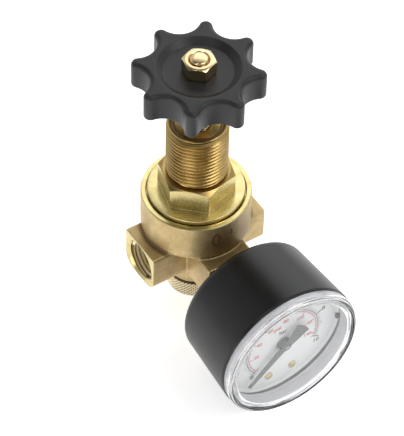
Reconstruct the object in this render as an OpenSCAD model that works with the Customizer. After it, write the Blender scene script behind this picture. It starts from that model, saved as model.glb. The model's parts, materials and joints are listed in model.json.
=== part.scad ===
// Air pressure regulator with a bronze body, a threaded bonnet, a star handwheel and a
// 50 mm pressure gauge on its front port. Origin: centre of the bottom cap's flat end.
// +Z runs up the bonnet axis, the two main ports lie along X, and the gauge faces -Y.

/* [Body] */
// Radius of the round cup that carries the bonnet
cup_r = 17.9; // [17:0.1:19]
// Height of the cup's machined rim above the cap's end
rim_z = 43; // [42:0.5:44]
// Distance from the bonnet axis to each port face
port_reach = 21.3; // [20:0.1:24]
// Width across a port boss
boss_w = 16.9; // [16:0.1:18]
// Height of the inlet and outlet axis above the cap's end
port_z = 20.4; // [20:0.1:21]
// Wall radius of the G 1/4 ports (half the major thread diameter)
port_r = 6.58; // [6.5:0.01:6.6]
// Depth of the port threads
port_depth = 11; // [9:0.5:11]

/* [Bonnet] */
// Radius of the M20 panel thread
thread_r = 10; // [9.5:0.5:10]
// Length of the M20 panel thread
thread_len = 21.5; // [18:0.5:22]
// Width across the flats of the bonnet hexagon
hex_af = 22; // [21:0.5:24]
// Height of the bonnet hexagon
hex_h = 8.5; // [6:0.5:10]
// Radius of the bonnet flange
flange_r = 15.7; // [15:0.1:15.8]

/* [Handwheel] */
// Radius over the tips of the star handwheel
wheel_r = 21; // [20:0.5:24]
// Thickness of the star handwheel
wheel_h = 10; // [9:0.5:12]
// Number of lobes on the star handwheel
lobes = 8; // [6:1:10]
// Gap between the bonnet's top and the handwheel when it is screwed right out
wheel_gap = 13.9; // [13:0.1:16]
// Radius of the adjusting spindle's M8 thread
spindle_r = 3.94; // [3.9:0.01:3.94]

/* [Gauge] */
// Height of the gauge axis above the cap's end
gauge_z = 19; // [18.5:0.1:20.4]
// Radius of the gauge case at its front lip
case_r = 24.5; // [24:0.1:25.5]
// Radius of the gauge case at its back
case_back_r = 22.8; // [22.5:0.1:23.5]
// Distance from the bonnet axis to the gauge's back
case_back = 27.9; // [27:0.1:30]
// Depth of the gauge case without its lens
case_depth = 26.8; // [24:0.1:27]
// How far the lens stands out of the case
lens_proud = 3.5; // [2.5:0.1:4]
// Direction of the pointer at zero pressure, counter-clockwise from 3 o'clock
pointer_zero = 224; // [220:1:230]

/* [Hidden] */
$fn = 72;

eps = 0.01;
brass = [0.76, 0.64, 0.40];
forged = [0.78, 0.67, 0.48];
gold = [0.90, 0.76, 0.52];
black = [0.13, 0.13, 0.12];
charcoal = [0.27, 0.27, 0.27];
steel = [0.70, 0.71, 0.73];
rubber = [0.08, 0.08, 0.08];

// Heights up the bonnet axis
cap_h = 7;
body_base_z = 7.6;
cup_base_z = 30.2;
boss_top_z = 28.1;
boss_base_z = 12.9;
seat_z = 19.5;
chamber_z = 21;
ledge_z = 33;
flange_z = 41;
flange_top_z = rim_z + 1.4;
hex_top_z = flange_top_z + hex_h;
bonnet_top_z = hex_top_z + thread_len;
wheel_z = bonnet_top_z + wheel_gap;
wheel_top_z = wheel_z + wheel_h;
dish_h = 1.7;
dish_z = wheel_top_z - dish_h;
nut_h = 5;
diaphragm_t = 1;
slip_t = 0.6;
bonnet_base_z = ledge_z + diaphragm_t + slip_t;
plate_h = 2;
spring_z = ledge_z + diaphragm_t + plate_h;
button_z = 61.6;
button_h = 3;
bonnet_bore_r = 7.5;
web_z = 66.4;
fit = 0.06;

// Distances out from the bonnet axis along the gauge axis
socket_top = 38;
rear_plate_out = socket_top;
plate_t = 0.8;
gear_out = 40.4;
gear_t = 1.2;
link_out = 41.8;
link_t = 0.6;
front_plate_out = 44.4;
dial_out = 49.65;
dial_t = 0.6;
dial_face = dial_out + dial_t;
case_front = case_back + case_depth;
lens_front = case_front + lens_proud;
lens_seat = 49.25;
lens_inner = 56.8;
case_wall = 3;
case_bore_r = 21.5;
lens_r = 23.4;
lens_flange_r = 24.2;
lens_bore_r = 22.45;
pointer_out = 52.25;

// Movement geometry in the gauge's own plane, seen from the front
gear_module = 0.3;
pinion_teeth = 12;
sector_teeth = 72;
pressure_angle = 20;
addendum = 0.7 * gear_module;
dedendum = 0.95 * gear_module;
backlash = 0.05;
pinion_pitch_r = gear_module * pinion_teeth / 2;
sector_pitch_r = gear_module * sector_teeth / 2;
pivot_dir = 310;
pivot_x = (pinion_pitch_r + sector_pitch_r) * cos(pivot_dir);
pivot_y = (pinion_pitch_r + sector_pitch_r) * sin(pivot_dir);
tail_len = 3.2;
tail_dir = 305;
tail_x = pivot_x + tail_len * cos(tail_dir);
tail_y = pivot_y + tail_len * sin(tail_dir);
tube_r = 17;
tube_start = -15;
tube_sweep = 258;
tip_x = tube_r * cos(tube_start);
tip_y = tube_r * sin(tube_start);
plate_r = 13.4;
plate_y = -3;
pillar_spots = [[-9, 5], [9, 5], [-7, -11]];
dial_spots = [[-4.65, -15], [4.65, -15]];
screw_spots = [[-4.5, -6], [4.5, 3]];

// Star outline: round lobe tips and tangent round valleys between them
tip_round = 2.2;
tip_c = wheel_r - tip_round;
half_step = 180 / lobes;
valley_r = 15.9;
chord_x = tip_c * cos(half_step) - valley_r;
chord_y = tip_c * sin(half_step);
valley_round = (chord_y * chord_y + chord_x * chord_x - tip_round * tip_round) / (2 * (tip_round + chord_x));

function polar(r, a) = [r * cos(a), r * sin(a)];
function involute_turn(a) = tan(a) * 180 / PI - a;
function half_tooth(teeth, rho) =
    let (pitch_r = gear_module * teeth / 2, base_r = pitch_r * cos(pressure_angle))
    90 / teeth - backlash / 2 / pitch_r * 180 / PI + involute_turn(pressure_angle)
        - involute_turn(acos(min(1, base_r / rho)));
function tooth_outline(teeth, turn) =
    let (pitch_r = gear_module * teeth / 2, low = pitch_r - dedendum - 0.1,
        radii = [low, for (i = [0:6]) pitch_r - dedendum + i * (addendum + dedendum) / 6])
    concat([for (rho = radii) polar(rho, turn - half_tooth(teeth, rho))],
        [for (i = [len(radii) - 1:-1:0]) polar(radii[i], turn + half_tooth(teeth, radii[i]))]);
function ring_frame(p, tangent, r, sides) =
    let (out = [cos(tangent), sin(tangent), 0])
    [for (i = [0:sides - 1]) p + r * (cos(360 * i / sides) * out + sin(360 * i / sides) * [0, 0, 1])];

// A wire coil round Z: its centre line climbs from low to high with closed end turns
module coil(mid_r, wire_r, low, high, turns, steps, sides) {
    total = round(turns * steps);
    dead = 0.8 / turns;
    gap = 2 * wire_r + 0.15;
    dead_rise = gap * 0.8;
    span = high - low - 2 * wire_r;
    rise = function (t) t < dead ? dead_rise * t / dead
        : t > 1 - dead ? span - dead_rise * (1 - t) / dead
        : dead_rise + (span - 2 * dead_rise) * (t - dead) / (1 - 2 * dead);
    pts = [for (i = [0:total]) let (t = i / total, a = 360 * turns * t)
        each ring_frame([mid_r * cos(a), mid_r * sin(a), low + wire_r + rise(t)], a, wire_r, sides)];
    walls = [for (i = [0:total - 1], j = [0:sides - 1]) let (k = (j + 1) % sides)
        [i * sides + j, (i + 1) * sides + j, (i + 1) * sides + k, i * sides + k]];
    first = [for (j = [0:sides - 1]) j];
    last = [for (j = [sides - 1:-1:0]) total * sides + j];
    polyhedron(points = pts, faces = concat(walls, [first, last]));
}

// Places a child on the gauge axis, looking at the dial, at a distance out from the bonnet axis
module at_gauge(out) {
    translate([0, 0, gauge_z]) rotate([90, 0, 0]) translate([0, 0, out]) children();
}

module hex_prism(af, h) {
    cylinder(r = af / 2 / cos(30), h = h, $fn = 6);
}

// A plain ring round Z
module tube(outer, inner, h) {
    difference() {
        cylinder(r = outer, h = h);
        translate([0, 0, -1]) cylinder(r = inner, h = h + 2);
    }
}

// A side boss that runs out along X with square upper and round lower corners
module side_boss(reach, top, base) {
    corner = 4.2;
    half = boss_w / 2;
    rotate([90, 0, 90]) linear_extrude(reach) union() {
        translate([-half, base + corner]) square([boss_w, top - base - corner]);
        translate([corner - half, base]) square([boss_w - 2 * corner, corner + 1]);
        for (s = [-1, 1]) translate([s * (half - corner), base + corner]) circle(r = corner);
    }
}

module port_bore(axis_z) {
    translate([port_reach - port_depth, 0, axis_z]) rotate([0, 90, 0])
        cylinder(r = port_r, h = port_depth + 1);
}

module body() {
    outlet_z = 23.6;
    inlet_z = 16.9;
    color(forged) difference() {
        union() {
            rotate_extrude() polygon([[0, body_base_z], [9, body_base_z], [9.6, body_base_z + 0.6],
                [10.6, 14], [11, 16], [11, 24.5], [15.6, 27.4], [17, 28.2], [cup_r, cup_base_z],
                [cup_r, rim_z], [0, rim_z]]);
            side_boss(port_reach, boss_top_z, boss_base_z);
            rotate([0, 0, 180]) side_boss(port_reach, boss_top_z, boss_base_z);
            rotate([0, 0, -90]) side_boss(port_reach, boss_top_z, boss_base_z - 1.6);
        }
        translate([0, 0, flange_z]) cylinder(r = flange_r + 0.2, h = 5);
        translate([0, 0, ledge_z]) cylinder(r = 15, h = 10);
        translate([0, 0, 30.5]) cylinder(r = 11.5, h = 5);
        translate([0, 0, chamber_z]) cylinder(r = 5, h = 12);
        translate([0, 0, seat_z - 1]) cylinder(r = 3, h = 5);
        translate([0, 0, 10]) cylinder(r = 6, h = seat_z - 10);
        translate([0, 0, 5]) cylinder(r = 7.5, h = 9);
        port_bore(port_z);
        rotate([0, 0, 180]) port_bore(port_z);
        rotate([0, 0, -90]) port_bore(gauge_z);
        translate([0, 0, outlet_z]) rotate([0, 90, 0]) cylinder(r = 2.4, h = 12);
        translate([0, 0, inlet_z]) rotate([0, -90, 0]) cylinder(r = 2.2, h = 12);
        translate([0, 0, 22.6]) rotate([90, 0, 0]) cylinder(r = 1.4, h = 12);
    }
}

module bottom_cap() {
    color(brass) difference() {
        rotate_extrude() polygon([[0, 0], [8.9, 0], [9.5, 0.6], [9.5, cap_h - 0.5], [9, cap_h],
            [8.2, cap_h], [8.2, body_base_z], [7.45, body_base_z], [7.45, 13.6], [0, 13.6]]);
        translate([0, 0, 4]) cylinder(r = 4.6, h = 12);
        translate([0, 0, 1.5]) cylinder(r = 1.8 + fit, h = 4);
    }
}

module cap_o_ring() {
    color(rubber) translate([0, 0, cap_h + eps]) tube(9, 8.25, body_base_z - cap_h - 2 * eps);
}

module valve_spring() {
    color(steel) coil(3.6, 0.4, 4, 16, 6, 14, 6);
}

module valve_cone() {
    color(brass) rotate_extrude() polygon([[0, 2.8], [1.8, 2.8], [1.8, 16], [4.6, 16], [4.6, 18.7],
        [1.2, 18.7], [1.2, 31.8], [0, 31.8]]);
}

module valve_seal() {
    color(rubber) translate([0, 0, 18.7]) tube(4.4, 1.2, seat_z - 18.7);
}

module diaphragm() {
    color(rubber) translate([0, 0, ledge_z]) tube(14.4, 2, diaphragm_t);
}

module diaphragm_bolt() {
    color(brass) union() {
        translate([0, 0, 31.8]) cylinder(r = 5, h = ledge_z - 31.8);
        translate([0, 0, 31.8]) cylinder(r = 2, h = 7);
    }
}

module diaphragm_plate() {
    color(steel) translate([0, 0, ledge_z + diaphragm_t]) tube(10.8, 2, plate_h);
}

module diaphragm_nut() {
    color(steel) translate([0, 0, spring_z]) difference() {
        hex_prism(7, 2.4);
        translate([0, 0, -1]) cylinder(r = 2, h = 5);
    }
}

module slip_ring() {
    color(steel) translate([0, 0, ledge_z + diaphragm_t]) tube(14.4, 12.1, slip_t);
}

module setting_spring() {
    color(steel) coil(5.85, 1.05, spring_z, button_z, 6.5, 16, 8);
}

module spring_button() {
    color(steel) difference() {
        union() {
            translate([0, 0, button_z]) cylinder(r = bonnet_bore_r - 0.25, h = button_h);
            translate([0, 0, button_z - 3.6]) cylinder(r = 4.4, h = 4);
        }
        translate([0, 0, button_z - 5]) cylinder(r = 1.5, h = 10);
    }
}

module bonnet() {
    thread_chamfer = 1;
    color(brass) difference() {
        union() {
            translate([0, 0, bonnet_base_z]) cylinder(r = 14.95, h = flange_z + 1 - bonnet_base_z);
            rotate_extrude() polygon([[0, flange_z], [flange_r, flange_z],
                [flange_r, flange_top_z - 0.6], [flange_r - 0.6, flange_top_z], [0, flange_top_z]]);
            intersection() {
                translate([0, 0, flange_top_z - 1]) rotate([0, 0, 15.8]) hex_prism(hex_af, hex_h + 1);
                rotate_extrude() polygon([[0, flange_top_z - 1], [hex_af, flange_top_z - 1],
                    [hex_af, hex_top_z - (hex_af - thread_r - 0.9) * tan(30)],
                    [thread_r + 0.9, hex_top_z], [0, hex_top_z]]);
            }
            rotate_extrude() polygon([[0, hex_top_z - 1], [thread_r, hex_top_z - 1],
                [thread_r, bonnet_top_z - thread_chamfer], [thread_r - thread_chamfer, bonnet_top_z],
                [0, bonnet_top_z]]);
        }
        translate([0, 0, bonnet_base_z - 1]) cylinder(r = 12, h = 6);
        translate([0, 0, bonnet_base_z]) cylinder(r = bonnet_bore_r, h = web_z - bonnet_base_z);
        translate([0, 0, web_z - 1]) cylinder(r = spindle_r + fit, h = 20);
    }
}

module adjusting_spindle() {
    square_af = 5.8;
    tip_z = button_z + button_h;
    dome_z = dish_z + nut_h + 0.3;
    color(gold) union() {
        translate([0, 0, tip_z]) cylinder(r1 = 2.4, r2 = spindle_r, h = 1.6);
        translate([0, 0, tip_z + 1.6]) cylinder(r = spindle_r, h = wheel_z - tip_z - 1.6);
        translate([-square_af / 2, -square_af / 2, wheel_z]) cube([square_af, square_af, 7]);
        translate([0, 0, wheel_z]) cylinder(r = square_af / 2, h = dome_z - wheel_z);
        translate([0, 0, dome_z]) intersection() {
            translate([0, 0, -8.4]) sphere(r = 8.9);
            cylinder(r = square_af / 2, h = 2);
        }
    }
}

// One lobe's tip arc and the valley arc after it, for a lobe that points at angle turn
function lobe_outline(turn) =
    let (valley_c = valley_r + valley_round,
        meet = atan2(valley_c * sin(half_step), valley_c * cos(half_step) - tip_c))
    concat([for (i = [0:8]) polar(tip_c, turn) + polar(tip_round, turn + meet * (i / 4 - 1))],
        [for (i = [1:11]) polar(valley_c, turn + half_step)
            + polar(valley_round, turn + 180 + meet + 2 * (half_step - meet) * i / 12)]);

module star(h) {
    lobe_turn = 6;
    linear_extrude(h)
        polygon([for (i = [0:lobes - 1]) each lobe_outline(lobe_turn + i * 2 * half_step)]);
}

module handwheel() {
    edge = 1.2;
    color(charcoal) difference() {
        intersection() {
            translate([0, 0, wheel_z]) star(wheel_h);
            rotate_extrude() polygon([[0, wheel_z], [wheel_r - edge, wheel_z],
                [wheel_r + 1, wheel_z + edge + 1], [wheel_r + 1, wheel_top_z - edge - 1],
                [wheel_r - edge, wheel_top_z], [0, wheel_top_z]]);
        }
        translate([0, 0, dish_z]) cylinder(r1 = 11.1, r2 = 13.1, h = dish_h + eps);
        translate([0, 0, wheel_z - 1]) tube(13.2, 7, 5.5);
        translate([-2.95, -2.95, wheel_z - 1]) cube([5.9, 5.9, 8.2]);
        translate([0, 0, wheel_z]) cylinder(r = 3, h = wheel_h);
    }
}

module handwheel_nut() {
    nut_af = 9.6;
    cone_r = 4.45;
    color(gold) translate([0, 0, dish_z]) difference() {
        intersection() {
            rotate([0, 0, 19.8]) hex_prism(nut_af, nut_h);
            rotate_extrude()
                polygon([[0, 0], [7, 0], [7, nut_h - (7 - cone_r) * tan(30)], [cone_r, nut_h], [0, nut_h]]);
        }
        translate([0, 0, -1]) cylinder(r = 2.95, h = nut_h + 2);
    }
}

module gauge_socket() {
    square_af = 14;
    square_out = port_reach + 1.8;
    square_h = case_back - square_out;
    inside_out = case_back + case_wall;
    color(brass) at_gauge(0) difference() {
        union() {
            translate([0, 0, port_reach - port_depth + 0.8])
                cylinder(r = port_r - 0.05, h = port_depth - 0.8);
            translate([0, 0, port_reach]) cylinder(r = 6.2, h = 3);
            translate([0, 0, square_out]) intersection() {
                translate([-square_af / 2, -square_af / 2, 0]) cube([square_af, square_af, square_h]);
                cylinder(r = 8.8, h = square_h);
            }
            translate([0, 0, case_back - 0.5]) cylinder(r = 6.95, h = case_wall + 1);
            translate([0, 0, inside_out]) cylinder(r = 7.6, h = socket_top - inside_out);
            translate([-8, -18.6, inside_out + 0.3]) cube([16, 18.6, socket_top - inside_out - 0.3]);
        }
        cylinder(r = 1.5, h = socket_top - 2);
    }
}

module gauge_seal() {
    color(rubber) at_gauge(port_reach) tube(8, 6.25, 1.8);
}

module gauge_case() {
    edge = 2.4;
    color(black) at_gauge(0) rotate_extrude() difference() {
        polygon([[7, case_back], [case_back_r - edge, case_back], [case_back_r - 0.7, case_back + 0.7],
            [case_back_r, case_back + edge], [case_r, case_front - 1], [case_r - 0.25, case_front],
            [7, case_front]]);
        translate([0, case_back + case_wall]) square([case_bore_r, case_depth]);
        translate([0, lens_seat]) square([lens_r + 0.1, case_depth]);
    }
}

module gauge_lens() {
    lip = 0.9;
    flange_out = case_front + 0.05;
    color([0.85, 0.9, 0.95, 0.35]) at_gauge(0) rotate_extrude() difference() {
        polygon([[0, lens_seat + 0.05], [lens_r, lens_seat + 0.05], [lens_r, flange_out],
            [lens_flange_r, flange_out], [lens_flange_r, lens_front - lip], [lens_flange_r - lip, lens_front],
            [0, lens_front]]);
        translate([-eps, lens_seat - 1]) square([lens_bore_r + eps, lens_inner - lens_seat + 1]);
    }
}

module dial_ring() {
    color([0.88, 0.88, 0.86]) at_gauge(0) difference() {
        translate([0, 0, dial_face]) tube(lens_bore_r - 0.05, 21.9, lens_inner - dial_face - 0.9);
        key_block(0.05);
    }
}

// The little block at 3 o'clock that keeps the dial and its ring from turning
module key_block(gap) {
    translate([21 - gap, -1.1 - gap, lens_seat + eps]) cube([1.2 + 2 * gap, 2.2 + 2 * gap, 2 + gap]);
}

module dial_key() {
    color(black) at_gauge(0) key_block(0);
}

module gauge_dial() {
    color([0.9, 0.9, 0.88]) at_gauge(0) difference() {
        translate([0, 0, dial_out]) cylinder(r = 22.3, h = dial_t);
        translate([0, 0, dial_out - 1]) cylinder(r = 1.6, h = 3);
        for (p = dial_spots) translate([p.x, p.y, dial_out - 1]) cylinder(r = 0.8, h = 3);
        key_block(0.05);
    }
}

module dial_posts() {
    color(brass) at_gauge(socket_top) for (p = dial_spots) translate(p) difference() {
        cylinder(r = 1.15, h = dial_out - socket_top, $fn = 32);
        translate([0, 0, 5]) cylinder(r = 0.65, h = 10, $fn = 32);
    }
}

module dial_screws() {
    color(gold) at_gauge(0) for (p = dial_spots) translate(p) {
        translate([0, 0, dial_out - 3]) cylinder(r = 0.62, h = 3.8, $fn = 32);
        translate([0, 0, dial_face]) cylinder(r1 = 1.45, r2 = 1.1, h = 0.7, $fn = 32);
    }
}

module bourdon_tube() {
    half_w = 2.9;
    half_t = 1;
    color(brass) at_gauge(34.6) rotate([0, 0, tube_start]) rotate_extrude(angle = tube_sweep)
        translate([tube_r, 0]) difference() {
            union() {
                square([2 * half_t, 2 * half_w - 2 * half_t], center = true);
                for (s = [-1, 1]) translate([0, s * (half_w - half_t)]) circle(r = half_t, $fn = 24);
            }
            square([0.9, 4], center = true);
        }
}

module tube_end() {
    color(brass) at_gauge(31.9) rotate([0, 0, tube_start]) {
        translate([tube_r - 1.3, -2.6, 0]) cube([2.6, 2.6, 5.4]);
        translate([tube_r - 0.7, -2.2, 5]) cube([1.4, 2.2, link_out - 31.9 - 5.2]);
    }
}

module link() {
    reach = norm([tip_x - tail_x, tip_y - tail_y]);
    color(steel) at_gauge(link_out) translate([tail_x, tail_y, 0])
        rotate([0, 0, atan2(tip_y - tail_y, tip_x - tail_x)]) difference() {
            union() {
                cylinder(r = 1, h = link_t, $fn = 32);
                translate([0, -0.6, 0]) cube([reach, 1.2, link_t]);
                translate([reach, 0, 0]) cylinder(r = 1, h = link_t, $fn = 32);
            }
            translate([0, 0, -1]) cylinder(r = 0.45, h = 3, $fn = 32);
            translate([reach, 0, -1]) cylinder(r = 0.45, h = 3, $fn = 32);
        }
}

module sector_gear() {
    root_r = sector_pitch_r - dedendum;
    step = 360 / sector_teeth;
    to_pinion = pivot_dir - 180;
    color(brass) at_gauge(0) translate([pivot_x, pivot_y, 0]) {
        translate([0, 0, gear_out]) linear_extrude(gear_t) union() {
            for (i = [-11:1])
                polygon(tooth_outline(sector_teeth, to_pinion + (i + 0.5) * step));
            intersection() {
                difference() {
                    circle(r = root_r, $fn = 180);
                    circle(r = root_r - 1.6);
                }
                polygon([[0, 0], for (a = [-54, -20, 9]) polar(20, to_pinion + a)]);
            }
            for (a = [to_pinion - 48, to_pinion + 3]) rotate(a)
                translate([0, -0.7]) square([root_r - 0.8, 1.4]);
            rotate(tail_dir) translate([0, -0.7]) square([tail_len, 1.4]);
            translate(polar(tail_len, tail_dir)) circle(r = 1, $fn = 32);
            circle(r = 1.8, $fn = 48);
        }
        translate([0, 0, socket_top + 0.1])
            cylinder(r = 0.8, h = front_plate_out + plate_t - socket_top - 0.2, $fn = 32);
        translate([0, 0, gear_out - 0.6]) cylinder(r = 1.6, h = 3, $fn = 32);
        translate(concat(polar(tail_len, tail_dir), gear_out + gear_t - eps))
            cylinder(r = 0.4, h = link_out + link_t - gear_out - gear_t, $fn = 32);
    }
}

module pointer_arbor() {
    color(steel) at_gauge(0) {
        translate([0, 0, gear_out - 0.2]) linear_extrude(gear_t + 0.4) union() {
            circle(r = pinion_pitch_r - dedendum, $fn = 48);
            for (i = [0:pinion_teeth - 1])
                polygon(tooth_outline(pinion_teeth, pivot_dir + i * 360 / pinion_teeth));
        }
        translate([0, 0, socket_top + 0.1]) cylinder(r = 0.6, h = pointer_out + 1.2 - socket_top, $fn = 32);
        translate([0, 0, 42.4]) cylinder(r = 1.2, h = 1.2, $fn = 32);
    }
}

module hairspring() {
    turns = 4;
    steps = 24;
    inner = 1.45;
    pitch = 0.55;
    spiral = function (i, side) polar(inner + side * 0.12 + pitch * i / steps, 360 * i / steps);
    total = turns * steps;
    color(steel) at_gauge(42.6) linear_extrude(0.8)
        polygon(concat([for (i = [0:total]) spiral(i, 0)], [for (i = [total:-1:0]) spiral(i, 1)]));
}

module movement_plate(holes) {
    difference() {
        translate([0, plate_y, 0]) cylinder(r = plate_r, h = plate_t);
        translate([0, 0, -1]) cylinder(r = 0.6 + fit, h = 3, $fn = 32);
        translate([pivot_x, pivot_y, -1]) cylinder(r = 0.8 + fit, h = 3, $fn = 32);
        for (p = concat(pillar_spots, holes)) translate([p.x, p.y, -1]) cylinder(r = 0.8, h = 3, $fn = 32);
        for (p = dial_spots) translate([p.x, p.y, -1]) cylinder(r = 1.4, h = 3, $fn = 32);
    }
}

module rear_plate() {
    color(brass) at_gauge(rear_plate_out) movement_plate(screw_spots);
}

module front_plate() {
    color(brass) at_gauge(front_plate_out) movement_plate([]);
}

module plate_pillars() {
    color(brass) at_gauge(0) for (p = pillar_spots) translate(p) {
        translate([0, 0, rear_plate_out])
            cylinder(r = 0.78, h = front_plate_out + plate_t - rear_plate_out, $fn = 32);
        translate([0, 0, rear_plate_out + plate_t])
            cylinder(r = 1.3, h = front_plate_out - rear_plate_out - plate_t, $fn = 32);
        translate([0, 0, front_plate_out + plate_t]) cylinder(r = 1.5, h = 0.8, $fn = 32);
    }
}

module plate_screws() {
    color(steel) at_gauge(0) for (p = screw_spots) translate(p) {
        translate([0, 0, rear_plate_out]) cylinder(r = 0.78, h = plate_t, $fn = 32);
        translate([0, 0, rear_plate_out + plate_t]) cylinder(r = 1.5, h = 0.7, $fn = 32);
    }
}

module pointer() {
    tip = 18.9;
    tail_r = 9.2;
    hub_low = dial_face + 0.25 - pointer_out;
    color([0.42, 0.42, 0.42]) at_gauge(pointer_out) difference() {
        union() {
            rotate([0, 0, pointer_zero]) linear_extrude(0.5)
                polygon([[0, 1.5], [0, -1.5], [tip - 1.6, -0.65], [tip, -0.1], [tip, 0.1],
                    [tip - 1.6, 0.65]]);
            rotate([0, 0, pointer_zero]) translate([0, 0, 0.4]) linear_extrude(0.5)
                polygon([[0, -1.3], [0, 1.3], for (i = [-3:3]) polar(tail_r, 180 + i * 7)]);
            translate([0, 0, hub_low]) cylinder(r = 2.45, h = 0.45);
            translate([0, 0, hub_low]) cylinder(r = 1.9, h = 0.9 - hub_low);
        }
        translate([0, 0, -5]) cylinder(r = 0.6, h = 10, $fn = 32);
    }
}

body();
bottom_cap();
cap_o_ring();
valve_spring();
valve_cone();
valve_seal();
diaphragm();
diaphragm_bolt();
diaphragm_plate();
diaphragm_nut();
slip_ring();
setting_spring();
spring_button();
bonnet();
adjusting_spindle();
handwheel();
handwheel_nut();
gauge_socket();
gauge_seal();
gauge_case();
gauge_lens();
dial_ring();
gauge_dial();
dial_posts();
dial_screws();
dial_key();
bourdon_tube();
tube_end();
link();
sector_gear();
pointer_arbor();
hairspring();
rear_plate();
front_plate();
plate_pillars();
plate_screws();
pointer();
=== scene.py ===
"""Looks of an air pressure regulator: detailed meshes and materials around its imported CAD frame.

Outlines are in millimetres and become metres when a mesh is made. Gauge pieces are laid out in the
dial's own plane (x right, y up, third value outwards) and turned into place by on_gauge().
"""

import json
import math

import bmesh
import bpy
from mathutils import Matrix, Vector


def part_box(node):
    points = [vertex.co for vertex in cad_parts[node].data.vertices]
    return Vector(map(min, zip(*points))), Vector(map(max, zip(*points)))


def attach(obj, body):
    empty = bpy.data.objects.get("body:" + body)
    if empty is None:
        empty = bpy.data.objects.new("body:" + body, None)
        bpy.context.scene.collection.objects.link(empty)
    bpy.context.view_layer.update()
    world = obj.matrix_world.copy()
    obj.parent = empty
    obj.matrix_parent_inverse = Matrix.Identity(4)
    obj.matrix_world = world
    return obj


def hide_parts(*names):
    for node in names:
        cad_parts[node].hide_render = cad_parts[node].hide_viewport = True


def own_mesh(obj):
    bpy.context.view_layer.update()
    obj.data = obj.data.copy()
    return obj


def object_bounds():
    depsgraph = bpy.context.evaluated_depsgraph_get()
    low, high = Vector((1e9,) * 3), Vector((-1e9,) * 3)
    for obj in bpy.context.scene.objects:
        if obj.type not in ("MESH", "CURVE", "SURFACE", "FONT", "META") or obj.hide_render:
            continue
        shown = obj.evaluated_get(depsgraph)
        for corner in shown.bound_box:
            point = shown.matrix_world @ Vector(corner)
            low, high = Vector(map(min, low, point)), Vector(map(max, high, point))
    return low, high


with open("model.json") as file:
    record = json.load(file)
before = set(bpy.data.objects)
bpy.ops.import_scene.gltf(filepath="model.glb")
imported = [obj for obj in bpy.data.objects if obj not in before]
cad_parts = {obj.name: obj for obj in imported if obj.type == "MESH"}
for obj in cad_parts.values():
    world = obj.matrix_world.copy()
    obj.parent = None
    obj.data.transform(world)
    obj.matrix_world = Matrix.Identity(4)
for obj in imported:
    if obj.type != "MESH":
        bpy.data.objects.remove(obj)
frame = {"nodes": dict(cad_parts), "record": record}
cad_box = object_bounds()

MM = 0.001
TAU = 2 * math.pi
SCENE = bpy.context.scene


def span(node, axis):
    """Lowest and highest value of a CAD node along an axis, in millimetres."""
    low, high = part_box(node)
    return low[axis] / MM, high[axis] / MM


# Heights and radii, from the CAD frame
CAP_TOP = 7.0
CAP_R = span("bottom_cap", 0)[1]
BODY_BASE, RIM_Z = span("body", 2)
PORT_REACH = span("body", 0)[1]
CUP_R = 17.9
BONNET_BASE, BONNET_TOP = span("bonnet", 2)
FLANGE_R = span("bonnet", 0)[1]
FLANGE_BASE = 41.0
FLANGE_TOP = RIM_Z + 1.4
THREAD_R = 10.0
THREAD_LEN = 21.5
SPRING_BORE_R = 7.5
SPINDLE_BORE_R = 4.0
WEB_Z = 66.4
HEX_TOP = BONNET_TOP - THREAD_LEN
HEX_AF = 22.0
HEX_TURN = 15.8
WHEEL_BASE, WHEEL_TOP = span("handwheel", 2)
WHEEL_R = 21.0
LOBES = 8
LOBE_TURN = 6.0
NUT_BASE, NUT_TOP = span("handwheel_nut", 2)
SPINDLE_BASE, SPINDLE_TOP = span("adjusting_spindle", 2)
SPINDLE_R = 3.94
PORT_Z = 20.4
PORT_R = 6.58
PORT_DEPTH = 11.0
BOSS_TOP = 28.1
BOSS_HALF = 8.45
GAUGE_Z = sum(span("gauge_case", 2)) / 2
CASE_FRONT = -span("gauge_case", 1)[0]
CASE_BACK = -span("gauge_case", 1)[1]
CASE_R = span("gauge_case", 0)[1]
LENS_FRONT = -span("gauge_lens", 1)[0]
LENS_SEAT = -span("gauge_lens", 1)[1]
LENS_INNER = 56.8
LENS_R = 24.2
SKIRT_R = 23.4
DIAL_FACE = -span("gauge_dial", 1)[0]
DIAL_R = span("gauge_dial", 0)[1]
SCREW_X, SCREW_Y = 4.65, -15.0
SCALE_START, SCALE_SWEEP = 222, 246
POINTER_ZERO = 224.0
POINTER_OUT = 52.25


# ---------------------------------------------------------------- outlines and skins

def polar(radius, degrees):
    """The point at a radius and an angle from +X."""
    return radius * math.cos(math.radians(degrees)), radius * math.sin(math.radians(degrees))


def rounded(corners, closed=True, steps=5):
    """An outline from (x, y) and (x, y, radius) corners, with each radius turned into an arc."""
    points = []
    count = len(corners)
    for i, corner in enumerate(corners):
        x, y = corner[0], corner[1]
        radius = corner[2] if len(corner) > 2 else 0
        if not radius or (not closed and i in (0, count - 1)):
            points.append((x, y))
            continue
        here = Vector((x, y))
        before = Vector(corners[i - 1][:2]) - here
        after = Vector(corners[(i + 1) % count][:2]) - here
        half = before.angle(after) / 2
        centre = here + (before.normalized() + after.normalized()).normalized() * (radius / math.sin(half))
        start = here + before.normalized() * (radius / math.tan(half)) - centre
        end = here + after.normalized() * (radius / math.tan(half)) - centre
        turn = math.atan2(start.x * end.y - start.y * end.x, start.dot(end))
        for k in range(steps + 1):
            a = turn * k / steps
            points.append((centre.x + start.x * math.cos(a) - start.y * math.sin(a),
                           centre.y + start.x * math.sin(a) + start.y * math.cos(a)))
    return points


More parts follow.
